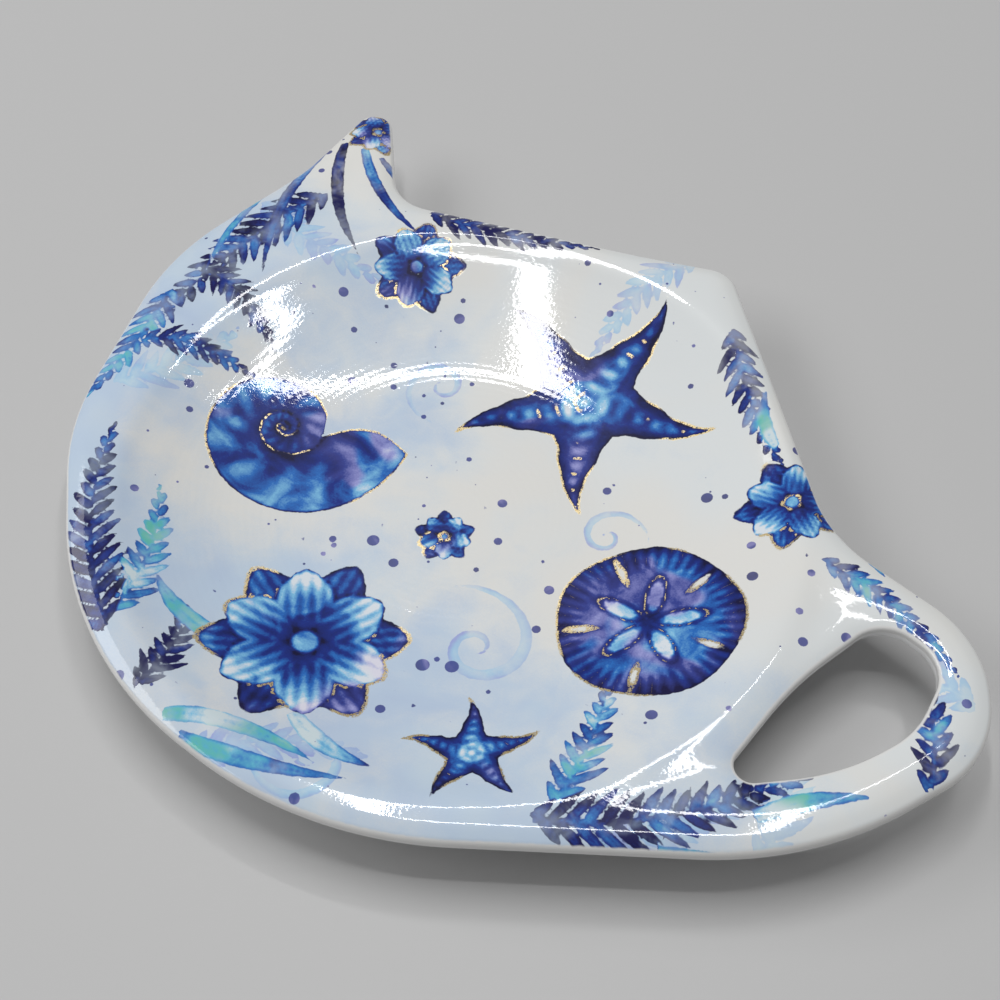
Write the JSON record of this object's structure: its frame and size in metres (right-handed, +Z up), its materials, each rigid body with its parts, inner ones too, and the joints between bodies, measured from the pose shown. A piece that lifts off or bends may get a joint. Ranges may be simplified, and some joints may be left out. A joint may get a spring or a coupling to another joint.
{
  "type": "tea bag rest",
  "caption": "Shallow teapot-shaped dish with a round well, a short spout, a lid knob and a flat handle with a finger hole, which holds a used tea bag.",
  "frame": {"origin": "middle of the dish's length and width, on the table that its foot ring stands on", "axes": "+X towards the end of the handle, +Y towards the lid knob, +Z up out of the well"},
  "size_m": [0.1601, 0.125, 0.014],
  "materials": {
    "dish_body": "gloss white melamine",
    "print_foil": "blue and white print",
    "gloss_coat": "clear gloss"
  },
  "bodies": {
    "root": {"dish_body": "dish_body", "print_foil": "print_foil", "gloss_coat": "gloss_coat"}
  },
  "joints": []
}
